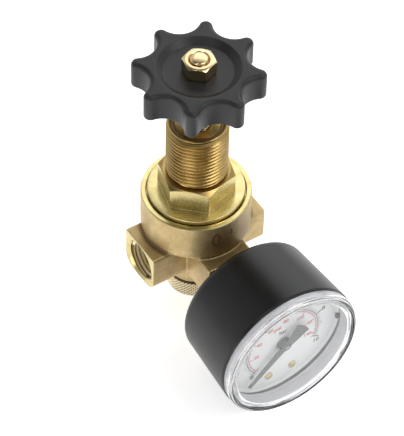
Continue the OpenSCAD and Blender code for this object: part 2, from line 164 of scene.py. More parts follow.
def loft(rings, join_ends=False):
    """Vertices and faces of a skin over rings that have equally many points each."""
    count = len(rings[0])
    verts = [p for ring in rings for p in ring]
    faces = []
    last = len(rings) if join_ends else len(rings) - 1
    for i in range(last):
        a = i * count
        b = (i + 1) % len(rings) * count
        for j in range(count):
            k = (j + 1) % count
            faces.append((a + j, a + k, b + k, b + j))
    if not join_ends:
        faces.append(tuple(reversed(range(count))))
        faces.append(tuple(range((len(rings) - 1) * count, len(rings) * count)))
    return verts, faces


def even_angles(count):
    return [TAU * i / count for i in range(count)]


def round_ring(angles, r, z):
    return [(r * math.cos(a), r * math.sin(a), z) for a in angles]


def round_rings(angles, outline):
    return [round_ring(angles, r, z) for r, z in outline]


def turned(outline, steps=128, join_ends=True):
    """A lathe skin round Z. The (radius, height) outline closes on itself, or starts and ends on Z."""
    return loft(round_rings(even_angles(steps), outline), join_ends)


def prism(outline, low, high):
    """A closed prism along Z over a flat outline."""
    return loft([[(x, y, low) for x, y in outline], [(x, y, high) for x, y in outline]])


def moved(part, place):
    """The same skin with each vertex sent through place()."""
    verts, faces = part
    return [place(v) for v in verts], faces


def together(parts):
    """Several skins as one list of vertices and faces."""
    verts, faces = [], []
    for part_verts, part_faces in parts:
        base = len(verts)
        verts.extend(part_verts)
        faces.extend(tuple(base + i for i in f) for f in part_faces)
    return verts, faces


def on_gauge(p):
    """From the dial's plane to the frame."""
    return p[0], -p[2], p[1] + GAUGE_Z


def along_port(turn, axis_z):
    """A place() that lays Z along a port: turn is the port's direction in degrees from +X."""
    c, s = math.cos(math.radians(turn)), math.sin(math.radians(turn))

    def place(p):
        return p[2] * c - p[0] * s, p[2] * s + p[0] * c, p[1] + axis_z

    return place


def mesh_of(name, part):
    """A welded mesh, in metres, with its normals outwards."""
    verts, faces = part
    mesh = bpy.data.meshes.new(name)
    mesh.from_pydata([tuple(c * MM for c in v) for v in verts], [], faces)
    bm = bmesh.new()
    bm.from_mesh(mesh)
    bmesh.ops.remove_doubles(bm, verts=bm.verts, dist=2e-6)
    bmesh.ops.dissolve_degenerate(bm, edges=bm.edges, dist=1e-7)
    bmesh.ops.recalc_face_normals(bm, faces=bm.faces)
    bm.to_mesh(mesh)
    bm.free()
    return mesh


def soften_edges(mesh, width, segments=2):
    """Rounds every edge sharper than 30 degrees, with the width in millimetres."""
    bm = bmesh.new()
    bm.from_mesh(mesh)
    edges = [e for e in bm.edges if e.is_manifold and e.calc_face_angle() > math.radians(30)]
    bmesh.ops.bevel(bm, geom=edges, offset=width * MM, segments=segments, affect="EDGES", profile=0.5)
    bm.to_mesh(mesh)
    bm.free()


def add_object(name, mesh):
    piece = bpy.data.objects.new(name, mesh)
    SCENE.collection.objects.link(piece)
    return piece


def finish_piece(piece, body, material, stands_for=(), sharp=32):
    """Shades a piece, gives it its material and lets it ride on its body."""
    for polygon in piece.data.polygons:
        polygon.use_smooth = True
    piece.data.set_sharp_from_angle(angle=math.radians(sharp))
    piece.data.materials.append(material)
    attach(piece, body)
    if stands_for:
        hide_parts(*stands_for)
    return piece


def add_piece(name, part, body, slot, stands_for=(), sharp=32, material=None):
    """A finished piece from a skin. Its material is its slot's, unless another one is named."""
    return finish_piece(add_object(name, mesh_of(name, part)), body, MAT[material or slot],
                        stands_for, sharp)


# ---------------------------------------------------------------- threads and hexagons

def thread_radius(phase, major, minor):
    """Radius of a 60 degree thread at a phase of 0 to 1 along its pitch, with a soft crest and root."""
    off = min(phase % 1.0, 1 - phase % 1.0)
    share = min(1.0, max(0.0, (off - 0.09) / 0.33))
    share = share * share * (3 - 2 * share) * 0.35 + share * 0.65
    return minor + (major - minor) * share


THREAD_PHASES = (0.0, 0.08, 0.13, 0.2, 0.36, 0.41, 0.46, 0.54, 0.59, 0.64, 0.8, 0.87, 0.92)


def thread_rings(angles, low, high, pitch, major, minor, limit, hand=1):
    """Rings of a helical thread from low to high. limit(z) caps its radius, for chamfers and run-outs."""
    turns = math.ceil((high - low) / pitch) + 1
    rings = []
    for turn in range(-1, turns):
        for phase in THREAD_PHASES:
            ring = []
            for a in angles:
                lead = hand * pitch * a / TAU
                z = min(high, max(low, low + (turn + phase) * pitch + lead))
                at = (z - low - lead) / pitch
                r = limit(z, thread_radius(at, major, minor))
                ring.append((r * math.cos(a), r * math.sin(a), z))
            rings.append(ring)
    return rings


def hex_corner_turn(flat_r, soft):
    """How far from a corner, in radians, its rounding starts."""
    centre = (flat_r - soft) / math.cos(math.radians(30))
    return math.atan2(soft * 0.5, centre + soft * math.cos(math.radians(30)))


def hex_angles(flat_r, soft, turn, fill):
    """Angles round a hexagon, close together at its rounded corners."""
    meet = hex_corner_turn(flat_r, soft)
    step = (math.radians(60) - 2 * meet) / fill
    offsets = [-meet, -meet / 2, 0, meet / 2] + [meet + step * i for i in range(fill)]
    return [math.radians(turn + 60 * k) + o for k in range(6) for o in offsets]


def hex_radius(angle, flat_r, soft, turn):
    """Distance from the centre to a hexagon's rounded outline. A corner points at turn degrees."""
    off = (angle - math.radians(turn) + math.radians(30)) % math.radians(60) - math.radians(30)
    if abs(off) < hex_corner_turn(flat_r, soft):
        centre = (flat_r - soft) / math.cos(math.radians(30))
        return centre * math.cos(off) + math.sqrt(soft * soft - (centre * math.sin(off)) ** 2)
    return flat_r / math.cos(math.radians(30) - abs(off))


def hex_rings(angles, flat_r, soft, turn, low, high, cone_r):
    """Rings of a hexagon from low to high whose corners are cut by a 30 degree cone from cone_r."""
    bottom, top = [], []
    for a in angles:
        r = hex_radius(a, flat_r, soft, turn)
        bottom.append((r * math.cos(a), r * math.sin(a), low))
        drop = max(0.0, r - cone_r) * math.tan(math.radians(30))
        top.append((r * math.cos(a), r * math.sin(a), high - drop))
    return [bottom, top]


# ---------------------------------------------------------------- materials

class Shader:
    """A node material built step by step, with texture places in metres in the frame."""

    def __init__(self, name):
        self.mat = bpy.data.materials.new(name)
        self.mat.use_nodes = True
        self.tree = self.mat.node_tree
        self.bsdf = self.tree.nodes["Principled BSDF"]
        self.place = self.node("ShaderNodeTexCoord").outputs["Object"]

    def node(self, kind, **inputs):
        made = self.tree.nodes.new(kind)
        for key, value in inputs.items():
            self.feed(made.inputs[key.replace("_", " ")], value)
        return made

    def feed(self, socket, value):
        if isinstance(value, bpy.types.NodeSocket):
            self.tree.links.new(value, socket)
        else:
            socket.default_value = value

    def set(self, **inputs):
        for key, value in inputs.items():
            self.feed(self.bsdf.inputs[key.replace("_", " ")], value)

    def noise(self, scale, detail=2.0, rough=0.5, vector=None):
        made = self.node("ShaderNodeTexNoise", Scale=scale, Detail=detail, Roughness=rough)
        self.feed(made.inputs["Vector"], vector or self.place)
        return made.outputs["Fac"]

    def math(self, operation, a, b=0.0):
        made = self.node("ShaderNodeMath")
        made.operation = operation
        self.feed(made.inputs[0], a)
        self.feed(made.inputs[1], b)
        return made.outputs[0]

    def remap(self, value, low, high, to_low, to_high):
        made = self.node("ShaderNodeMapRange", Value=value)
        made.inputs["From Min"].default_value = low
        made.inputs["From Max"].default_value = high
        made.inputs["To Min"].default_value = to_low
        made.inputs["To Max"].default_value = to_high
        return made.outputs["Result"]

    def blend(self, factor, a, b):
        made = self.tree.nodes.new("ShaderNodeMix")
        made.data_type = "RGBA"
        self.feed(made.inputs["Factor"], factor)
        self.feed(made.inputs[6], a)
        self.feed(made.inputs[7], b)
        return made.outputs[2]

    def bump(self, height, strength, distance, normal=None):
        made = self.node("ShaderNodeBump", Height=height, Strength=strength, Distance=distance)
        if normal:
            self.feed(made.inputs["Normal"], normal)
        return made.outputs["Normal"]

    def edges(self):
        """0 in hollows, 0.5 on flats and 1 on edges."""
        return self.node("ShaderNodeNewGeometry").outputs["Pointiness"]

    def radius(self, axis):
        """Distance from the bonnet's axis (Z) or the gauge's (Y)."""
        split = self.node("ShaderNodeSeparateXYZ", Vector=self.place)
        first, second = (split.outputs[o] for o in ("X", "Y", "Z") if o != axis)
        if axis == "Y":
            second = self.math("SUBTRACT", second, GAUGE_Z * MM)
        squared = self.math("ADD", self.math("MULTIPLY", first, first), self.math("MULTIPLY", second, second))
        return self.math("SQRT", squared)

    def turning_marks(self, ring_scale, axis="Z"):
        """Noise that runs in rings round an axis, like the marks of a lathe tool."""
        split = self.node("ShaderNodeSeparateXYZ", Vector=self.place)
        joined = self.node("ShaderNodeCombineXYZ")
        self.feed(joined.inputs[0], self.radius(axis))
        self.feed(joined.inputs[2], split.outputs[axis])
        return self.noise(ring_scale, 3.0, 0.6, joined.outputs[0])


def rgb(r, g, b):
    return (r, g, b, 1.0)


def forged_brass():
    """Sand-blasted forging: dull tan with a fine grain and slightly burnished edges.

    Its hollows are darkened as painted shade. Two darker zones are painted by place: beside the gauge, as
    its black case's reflection, and as painted shade where the cup meets the side bosses.
    """
    s = Shader("forged_brass")
    grain = s.noise(3400, 3.0, 0.6)
    blotch = s.noise(170, 3.0, 0.55)
    base = s.blend(s.remap(blotch, 0.35, 0.65, 0, 1), rgb(0.50, 0.375, 0.175), rgb(0.64, 0.49, 0.25))
    speck = s.remap(s.noise(1250, 3.0, 0.6), 0.36, 0.64, 0.0, 0.34)
    base = s.blend(speck, base, rgb(0.36, 0.25, 0.11))
    worn = s.remap(s.edges(), 0.52, 0.6, 0.0, 0.55)
    base = s.blend(worn, base, rgb(0.88, 0.70, 0.40))
    # Painted shade: hollows and creases, found by pointiness, are darkened towards dark brown.
    painted_hollow_shade = s.remap(s.edges(), 0.40, 0.492, 0.75, 0.0)
    base = s.blend(painted_hollow_shade, base, rgb(0.17, 0.10, 0.04))
    near_gauge = s.node("ShaderNodeVectorMath")
    near_gauge.operation = "DISTANCE"
    s.feed(near_gauge.inputs[0], s.place)
    near_gauge.inputs[1].default_value = (0.006, -0.024, 0.030)
    reflected = s.remap(near_gauge.outputs["Value"], 0.010, 0.021, 0.75, 0.0)
    base = s.blend(reflected, base, rgb(0.13, 0.085, 0.03))
    # Painted shade: a dark band round the cup's lower edge, limited to the side bosses.
    split = s.node("ShaderNodeSeparateXYZ", Vector=s.place)
    aside = s.math("POWER", s.math("SUBTRACT", s.radius("Z"), (CUP_R + 0.1) * MM), 2.0)
    below = s.math("POWER", s.math("SUBTRACT", split.outputs["Z"], 28.5 * MM), 2.0)
    painted_crease_shade = s.remap(s.math("SQRT", s.math("ADD", aside, below)), 0.4 * MM, 1.5 * MM, 0.8, 0.0)
    off_boss = s.math("ABSOLUTE", split.outputs["Y"])
    painted_crease_shade = s.math("MULTIPLY", painted_crease_shade, s.remap(off_boss, 7.6 * MM, 9.2 * MM, 1.0, 0.0))
    s.set(Base_Color=s.blend(painted_crease_shade, base, rgb(0.15, 0.09, 0.035)), Metallic=0.85)
    s.set(Roughness=s.remap(grain, 0.3, 0.7, 0.36, 0.54))
    fine = s.bump(grain, 0.28, 0.00012)
    s.set(Normal=s.bump(s.noise(900, 2.0), 0.3, 0.0003, fine))
    return s.mat


def machined_brass(name, light, dark, rough, axis="Z", hollow=0.6, grooves=(), metallic=1.0):
    """Turned brass with tool rings and faint stains. Its hollows are darkened as painted shade, or instead
    everything nearer the axis than the second of the two radii in grooves.
    """
    s = Shader(name)
    marks = s.turning_marks(5200, axis)
    stain = s.noise(230, 4.0, 0.6)
    base = s.blend(s.remap(stain, 0.35, 0.68, 0, 1), light, dark)
    # Painted shade: hollows, found by pointiness, are darkened; with grooves given, everything nearer the
    # axis is darkened instead.
    painted_hollow_shade = s.remap(s.edges(), 0.40, 0.49, hollow, 0.0)
    if grooves:
        painted_hollow_shade = s.remap(s.radius("Z"), grooves[0] * MM, grooves[1] * MM, 1.0, 0.0)
    s.set(Base_Color=s.blend(painted_hollow_shade, base, rgb(0.16, 0.09, 0.03)), Metallic=metallic)
    s.set(Roughness=s.remap(marks, 0.3, 0.7, rough - 0.07, rough + 0.09))
    fine = s.bump(marks, 0.10, 0.00006)
    s.set(Normal=s.bump(s.noise(420, 2.0), 0.05, 0.0002, fine))
    return s.mat


def moulded_plastic(name, low, high, rough, grain_scale, grain_strength):
    """Moulded plastic with a fine spark-eroded grain."""
    s = Shader(name)
    grain = s.noise(grain_scale, 2.0, 0.5)
    cloud = s.noise(140, 3.0, 0.5)
    base = s.blend(s.remap(cloud, 0.3, 0.7, 0, 1), low, high)
    dust = s.remap(s.edges(), 0.52, 0.62, 0.0, 0.35)
    lighter = rgb(*(min(1.0, c * 1.9 + 0.01) for c in high[:3]))
    s.set(Base_Color=s.blend(dust, base, lighter))
    s.set(Roughness=s.remap(grain, 0.3, 0.7, rough - 0.06, rough + 0.06))
    s.set(Specular_IOR_Level=0.4)
    s.set(Normal=s.bump(grain, grain_strength, 0.00008))
    return s.mat


def brushed_steel():
    s = Shader("spring_steel")
    marks = s.turning_marks(4200)
    tint = s.blend(s.noise(300, 2.0), rgb(0.50, 0.50, 0.52), rgb(0.62, 0.62, 0.63))
    s.set(Base_Color=tint, Metallic=1.0, Roughness=s.remap(marks, 0.3, 0.7, 0.24, 0.4))
    s.set(Normal=s.bump(marks, 0.08, 0.00005))
    return s.mat


def seal_rubber():
    s = Shader("seal_rubber")
    grain = s.noise(2600, 2.0)
    s.set(Base_Color=s.blend(grain, rgb(0.012, 0.012, 0.012), rgb(0.03, 0.03, 0.03)))
    s.set(Roughness=s.remap(grain, 0.3, 0.7, 0.6, 0.78), Normal=s.bump(grain, 0.2, 0.00006))
    return s.mat


def dial_enamel():
    """Printed white enamel with a very slight orange peel."""
    s = Shader("dial_white")
    cloud = s.noise(120, 3.0)
    s.set(Base_Color=s.blend(cloud, rgb(0.83, 0.83, 0.82), rgb(0.90, 0.90, 0.885)))
    peel = s.noise(1500, 2.0)
    s.set(Roughness=s.remap(peel, 0.3, 0.7, 0.34, 0.46), Normal=s.bump(peel, 0.06, 0.0001))
    return s.mat


def print_ink(name, low, high):
    """Dial ink, a little uneven as screen printing is."""
    s = Shader(name)
    s.set(Base_Color=s.blend(s.noise(5200, 2.0), low, high), Roughness=0.55)
    return s.mat


def clear_plastic():
    """Clear moulded plastic; light for the dial passes straight through it."""
    s = Shader("lens_clear")
    ripple = s.noise(90, 2.0)
    s.set(Base_Color=rgb(0.985, 0.988, 0.995), Roughness=0.02, IOR=1.46, Transmission_Weight=1.0)
    s.set(Normal=s.bump(ripple, 0.05, 0.0002))
    paths = s.node("ShaderNodeLightPath")
    straight = s.node("ShaderNodeBsdfTransparent", Color=rgb(0.985, 0.985, 0.99))
    mixed = s.node("ShaderNodeMixShader", Fac=paths.outputs["Is Shadow Ray"])
    s.feed(mixed.inputs[1], s.bsdf.outputs[0])
    s.feed(mixed.inputs[2], straight.outputs[0])
    s.feed(s.tree.nodes["Material Output"].inputs["Surface"], mixed.outputs[0])
    return s.mat


def floor_acrylic():
    """White translucent sheet of a light table, faintly lit from below."""
    s = Shader("floor_acrylic")
    s.set(Base_Color=s.blend(s.noise(30, 3.0), rgb(0.93, 0.93, 0.93), rgb(0.95, 0.95, 0.95)), Roughness=0.9)
    s.set(Emission_Color=rgb(1.0, 1.0, 1.0), Emission_Strength=0.60)
    return s.mat


MAT = {
    "forged_brass": forged_brass(),
    "machined_brass": machined_brass("machined_brass", rgb(0.72, 0.61, 0.30), rgb(0.56, 0.46, 0.20), 0.25),
    "thread_brass": machined_brass("thread_brass", rgb(0.47, 0.33, 0.125), rgb(0.35, 0.235, 0.08), 0.29),
    # Port threads: a pale, less metallic copy of brass as painted light inside the shaded bores.
    "port_thread_painted_light_brass": machined_brass("port_thread_painted_light_brass", rgb(0.95, 0.84, 0.55), rgb(0.85, 0.72, 0.42),
                                        0.35, metallic=0.45),
    # A dark copy of brass as painted shade in recesses: port walls, the bonnet's top end and the cap's neck.
    "painted_shade_brass": machined_brass("painted_shade_brass", rgb(0.20, 0.13, 0.05), rgb(0.13, 0.08, 0.03), 0.4),
    # Knurl: a pale, less metallic copy of brass as painted light on the ridges in the cap's shade, with
    # painted shade in the pits.
    "knurl_painted_light_and_shade_brass": machined_brass("knurl_painted_light_and_shade_brass", rgb(1.0, 0.90, 0.62), rgb(0.92, 0.78, 0.48), 0.24,
                                    grooves=(CAP_R - 0.30, CAP_R - 0.04), metallic=0.3),
    "gauge_brass": machined_brass("gauge_brass", rgb(0.80, 0.66, 0.32), rgb(0.68, 0.53, 0.24), 0.30, "Y"),
    "bright_brass": machined_brass("bright_brass", rgb(0.80, 0.62, 0.36), rgb(0.68, 0.51, 0.27), 0.2),
    "handwheel_plastic": moulded_plastic("handwheel_plastic", rgb(0.011, 0.011, 0.011),
                                         rgb(0.016, 0.016, 0.016), 0.42, 3000, 0.10),
    "case_plastic": moulded_plastic("case_plastic", rgb(0.0030, 0.0030, 0.0029),
                                    rgb(0.0055, 0.0055, 0.0053), 0.36, 3600, 0.12),
    # Liner: mid grey as painted shade on the white ring.
    "ring_white": moulded_plastic("ring_white", rgb(0.50, 0.50, 0.51), rgb(0.56, 0.56, 0.57),
                                  0.5, 2400, 0.05),
    "pointer_grey": moulded_plastic("pointer_grey", rgb(0.09, 0.095, 0.09), rgb(0.12, 0.125, 0.12),
                                    0.5, 3000, 0.06),
    "spring_steel": brushed_steel(),
    "seal_rubber": seal_rubber(),
    "dial_white": dial_enamel(),
    "ink_black": print_ink("ink_black", rgb(0.02, 0.02, 0.022), rgb(0.05, 0.05, 0.052)),
    "ink_red": print_ink("ink_red", rgb(0.50, 0.045, 0.05), rgb(0.62, 0.09, 0.09)),
    "ink_brown": print_ink("ink_brown", rgb(0.060, 0.022, 0.008), rgb(0.100, 0.038, 0.014)),
    "lens_plastic": clear_plastic(),
}


# ---------------------------------------------------------------- forged body

def boolean(piece, cutter):
    """Cuts one mesh object out of another and removes the cutter."""
    cut = piece.modifiers.new("cut", "BOOLEAN")
    cut.operation = "DIFFERENCE"
    cut.solver = "EXACT"
    cut.object = cutter
    bake(piece)
    bpy.data.objects.remove(cutter)


def bake(piece):
    """Applies a piece's modifiers."""
    graph = bpy.context.evaluated_depsgraph_get()
    mesh = bpy.data.meshes.new_from_object(piece.evaluated_get(graph))
    piece.modifiers.clear()
    piece.data = mesh


def boss_outline():
    """Half-square, half-round section of a port boss, centred on the port axis, as (across, up)."""
    top = BOSS_TOP - PORT_Z
    base = -7.5
    return rounded([(-BOSS_HALF, top, 0.25), (-BOSS_HALF, base, 4.6), (BOSS_HALF, base, 4.6),
                    (BOSS_HALF, top, 0.25)], steps=6)


def forging_blank():
    """The forging before machining: cup, neck, three bosses and parting ribs, blended together."""
    cup = turned([(0, BODY_BASE - 1)] + rounded([
        (0, BODY_BASE - 1), (8.9, BODY_BASE - 1), (9.2, BODY_BASE + 0.2), (10.7, 14.5, 3), (11.1, 24, 2),
        (15.4, 27, 2), (CUP_R, 29.2, 1.6), (CUP_R, RIM_Z + 0.4), (0, RIM_Z + 0.4)], closed=False),
        join_ends=False)
    parts = [cup]
    for turn, axis_z in ((0, PORT_Z), (180, PORT_Z), (-90, PORT_Z)):
        section = boss_outline()
        if turn == -90:
            section = [(x, y - (1.5 if y < 0 else 0)) for x, y in section]
        parts.append(moved(prism(section, 0, PORT_REACH + 0.4), along_port(turn, axis_z)))
    for turn in (45, 135, 225, 315):
        rib = prism([(-0.35, -8), (0.35, -8), (0.35, 4), (-0.35, 4)], 0, 12.1)
        parts.append(moved(rib, along_port(turn, PORT_Z)))
    blank = add_object("body_casting", mesh_of("body_casting", together(parts)))
    voxels = blank.modifiers.new("merge", "REMESH")
    voxels.mode = "VOXEL"
    voxels.voxel_size = 0.34 * MM
    soften = blank.modifiers.new("soften", "SMOOTH")
    soften.factor = 0.5
    soften.iterations = 7
    bake(blank)
    return blank


def port_cutter(turn, axis_z, passage_r, passage_z):
    """Everything machined into one port: its face, the chamfered bore and the passage behind it."""
    floor = PORT_REACH - PORT_DEPTH
    mouth = [(0, floor), (PORT_R, floor), (PORT_R, PORT_REACH - 0.75), (PORT_R + 0.75, PORT_REACH),
             (14, PORT_REACH), (14, PORT_REACH + 4), (0, PORT_REACH + 4)]
    passage = [(0, 1), (passage_r, 1), (passage_r, floor + 1), (0, floor + 1)]
    return (moved(turned(mouth, 96, join_ends=False), along_port(turn, axis_z)),
            moved(turned(passage, 32, join_ends=False), along_port(turn, passage_z)))


def port_thread(turn, axis_z):
    """The G 1/4 thread as one helical ridge standing in from the bore's wall."""
    pitch, depth = 1.337, 0.8
    first, last = PORT_REACH - PORT_DEPTH + 0.6, PORT_REACH - 0.9
    steps = 56
    total = int((last - first) / pitch * steps)
    rings = []
    for i in range(total + 1):
        a = TAU * i / steps
        z = first + pitch * i / steps
        fade = min(1.0, i / steps * 1.5, (total - i) / steps * 1.5)
        tip = PORT_R - depth * fade
        outer = PORT_R + 0.06
        section = [(outer, -0.6), (tip, -0.24), (tip - 0.03 * fade, 0), (tip, 0.24), (outer, 0.6)]
        rings.append([(r * math.cos(a), r * math.sin(a), z + dz) for r, dz in section])
    return moved(loft(rings), along_port(turn, axis_z))


def make_body():
    """The forging with its bores, ports and rim machined, and a thread in both side ports."""
    body = forging_blank()
    bore = [(0, 2), (14, 2), (14, BODY_BASE), (7.5, BODY_BASE), (7.5, 14), (6, 14), (6, 19.5), (3, 19.5),
            (3, 21), (5, 21), (5, 30.5), (11.5, 30.5), (11.5, 33), (15, 33), (15, FLANGE_BASE),
            (FLANGE_R + 0.3, FLANGE_BASE), (FLANGE_R + 0.3, RIM_Z - 0.4), (FLANGE_R + 0.6, RIM_Z),
            (CUP_R - 0.35, RIM_Z), (CUP_R + 1, RIM_Z - 1.35), (CUP_R + 6, RIM_Z - 1.35),
            (CUP_R + 6, RIM_Z + 6), (0, RIM_Z + 6)]
    cutters = [turned(bore, 160, join_ends=False)]
    for turn, axis_z, passage_r, passage_z in ((0, PORT_Z, 2.4, 23.6), (180, PORT_Z, 2.2, 16.9),
                                               (-90, GAUGE_Z, 1.4, 22.6)):
        cutters.extend(port_cutter(turn, axis_z, passage_r, passage_z))
    for i, cutter in enumerate(cutters):
        boolean(body, add_object(f"cutter_{i}", mesh_of("cutter", cutter)))
    ridges = together([port_thread(0, PORT_Z), port_thread(180, PORT_Z)])
    threads = add_object("threads", mesh_of("threads", ridges))
    bm = bmesh.new()
    bm.from_mesh(body.data)
    bm.from_mesh(threads.data)
    bm.to_mesh(body.data)
    bm.free()
    bpy.data.objects.remove(threads)
    finish_piece(body, "root", MAT["forged_brass"], ["body"], sharp=28)
    for extra in ("machined_brass", "port_thread_painted_light_brass", "painted_shade_brass"):
        body.data.materials.append(MAT[extra])
    for polygon in body.data.polygons:
        x, y, z = polygon.center / MM
        n = polygon.normal
        reach = math.hypot(x, y)
        on_rim = z > RIM_Z - 1.2 and n.z > 0.3
        in_bore = reach < FLANGE_R + 0.6 and z > 28.5 or reach < 9 and z > BODY_BASE + 0.1
        on_face = max(abs(x), -y) > PORT_REACH - 0.05
        near_axis = min(math.hypot(y, z - PORT_Z) if abs(x) > 9.5 else 99,
                        math.hypot(x, z - GAUGE_Z) if y < -9.5 else 99)
        if on_rim or in_bore or on_face or near_axis < PORT_R + 0.8 and reach > 9.5:
            polygon.material_index = 1
        # Painted light on the port threads (index 2) and painted shade on the port walls (index 3).
        if near_axis < PORT_R - 0.35 and reach > PORT_REACH - PORT_DEPTH + 0.3:
            polygon.material_index = 2
        elif near_axis < PORT_R + 0.2 and 9.5 < max(abs(x), -y) < PORT_REACH - 0.8:
            polygon.material_index = 3


def cup_mark():
    """A plain stamped oval and a short bar beside it, in dark ink on the cup."""
    oval, inner = [], []
    for k in range(40):
        a = TAU * k / 40
        oval.append((1.6 * math.cos(a), 3.0 * math.sin(a)))
        inner.append((0.65 * math.cos(a), 1.9 * math.sin(a)))
    low, high = CUP_R - 0.25, CUP_R + 0.03
    ring = loft([[(x, y, z) for x, y in side] for side, z in
                 ((oval, low), (oval, high), (inner, high), (inner, low))], join_ends=True)
    bar = prism([(5.0, 0.4), (5.5, 0.2), (5.8, 0.4), (5.8, 1.4), (5.8, 2.4), (5.3, 2.6), (5.0, 2.4),
                 (5.0, 1.4)], low, high)
    turn, height = -101.0, 36.9

    def wrap(p):
        x, y = polar(p[2], turn + math.degrees(p[0] / CUP_R))
        return x, y, p[1] + height

    add_piece("cup_mark", moved(together([ring, bar]), wrap), "root", "forged_brass", material="ink_brown")


# ---------------------------------------------------------------- bonnet, spindle and cap

def make_bonnet():
    """Flange, hexagon and M20x1.5 thread as one turned and milled piece."""
    soft = 0.25
    flat_r = HEX_AF / 2
    angles = hex_angles(flat_r, soft, HEX_TURN, 28)
    pitch = 1.5
    minor = THREAD_R - 0.92
    top_end = BONNET_TOP - 1.15
    cone_r = flat_r - 0.15

    def chamfered(z, r):
        run_out = minor - 0.1 + max(0.0, (z - HEX_TOP - 0.15) * 1.5)
        return min(r, THREAD_R - max(0.0, z - (top_end - 0.8)), run_out)

    below = rounded([
        (SPRING_BORE_R, BONNET_BASE), (14.95, BONNET_BASE, 0.4), (14.95, FLANGE_BASE),
        (FLANGE_R, FLANGE_BASE, 0.2), (FLANGE_R, FLANGE_TOP, 0.25), (flat_r * 1.17, FLANGE_TOP)],
        closed=False, steps=4)
    above = rounded([
        (minor - 0.25, top_end + 0.05), (minor - 0.25, top_end + 0.5), (9.5, top_end + 0.65, 0.1),
        (9.5, BONNET_TOP - 0.2, 0.1), (9.2, BONNET_TOP, 0.1), (8.75, BONNET_TOP, 0.1),
        (8.3, BONNET_TOP - 0.75, 0.1), (7.5, BONNET_TOP - 0.75, 0.1), (7.2, BONNET_TOP - 0.45, 0.1),
        (4.6, BONNET_TOP - 0.45, 0.2), (SPINDLE_BORE_R, BONNET_TOP - 0.9)], closed=False, steps=3)
    rings = round_rings(angles, below)
    foot = hex_rings(angles, flat_r, soft, HEX_TURN, FLANGE_TOP, HEX_TOP, cone_r)[0]
    rings.append([(x * 1.015, y * 1.015, FLANGE_TOP) for x, y, _ in foot])
    rings += hex_rings(angles, flat_r, soft, HEX_TURN, FLANGE_TOP + 0.2, HEX_TOP, cone_r)
    rings += round_rings(angles, [(cone_r, HEX_TOP), (minor - 0.15, HEX_TOP)])
    rings += thread_rings(angles, HEX_TOP + 0.15, top_end, pitch, THREAD_R, minor, chamfered)
    rings += round_rings(angles, above)
    rings += round_rings(angles, [(SPINDLE_BORE_R, WEB_Z), (SPRING_BORE_R, WEB_Z)])
    bonnet = add_piece("bonnet_turned", loft(rings, join_ends=True), "root", "machined_brass",
                       ["bonnet"], sharp=24)
    bonnet.data.materials.append(MAT["thread_brass"])
    bonnet.data.materials.append(MAT["painted_shade_brass"])
    for polygon in bonnet.data.polygons:
        x, y, z = polygon.center / MM
        on_chamfer = HEX_TOP - 3 < z < HEX_TOP + 1 and polygon.normal.z > 0.3
        if HEX_TOP + 0.05 < z or on_chamfer:
            polygon.material_index = 1
        reach = math.hypot(x, y)
        # Painted shade: the top end above the thread and its counterbore take the dark brass.
        if top_end < z and 8.5 < reach < minor or 7.3 < reach < 8.6 and BONNET_TOP - 0.8 < z:
            polygon.material_index = 2


def make_spindle():
    """M8 adjusting spindle whose domed M6 end stands out of the nut."""
    angles = even_angles(72)
    pitch = 1.25
    thread_top = WHEEL_BASE - 0.6

    def ends(z, r):
        return min(r, 2.7 + max(0.0, z - SPINDLE_BASE), SPINDLE_R - max(0.0, z - (thread_top - 0.6)))

    rings = round_rings(angles, [(0.0, SPINDLE_BASE), (1.8, SPINDLE_BASE)])
    rings += thread_rings(angles, SPINDLE_BASE + 0.05, thread_top, pitch, SPINDLE_R, 3.3, ends)
    dome_low, dome_r = NUT_TOP + 0.24, 2.72
    upper = rounded([
        (3.3, thread_top + 0.1), (SPINDLE_R, thread_top + 0.3, 0.1), (SPINDLE_R, WHEEL_BASE),
        (2.88, WHEEL_BASE), (2.88, NUT_TOP - 0.9), (2.62, NUT_TOP - 0.6), (2.62, NUT_TOP - 0.1, 0.1),
        (2.8, NUT_TOP + 0.02, 0.1), (2.76, dome_low, 0.35)], closed=False, steps=3)
    rings += round_rings(angles, upper)
    for k in range(1, 8):
        share = k / 8
        rise = (SPINDLE_TOP - dome_low) * math.sin(share * math.pi / 2)
        rings.append(round_ring(angles, dome_r * math.cos(share * math.pi / 2), dome_low + rise))
    rings.append(round_ring(angles, 0.0, SPINDLE_TOP))
    add_piece("spindle_turned", loft(rings), "wheel", "bright_brass", ["adjusting_spindle"], sharp=30)


def make_nut():
    """Hexagon nut with both ends chamfered and a countersunk thread mouth."""
    soft, flat_r, turn = 0.2, 4.8, 19.8
    angles = hex_angles(flat_r, soft, turn, 10)
    cone_r = 4.45
    low, high = NUT_BASE, NUT_TOP
    side = hex_rings(angles, flat_r, soft, turn, low, high, cone_r)
    under = [(x, y, low + (high - z)) for (x, y, z) in side[1]]
    foot = [(3.0, low + 0.3), (3.3, low), (cone_r - 0.1, low)]
    mouth = [(cone_r, high - 0.02), (cone_r - 0.25, high), (3.55, high), (3.35, high - 0.12),
             (3.0, high - 0.55)]
    rings = round_rings(angles, foot)
    rings += [under, side[1]]
    rings += round_rings(angles, mouth)
    add_piece("nut_milled", loft(rings, join_ends=True), "wheel", "bright_brass", ["handwheel_nut"], sharp=26)


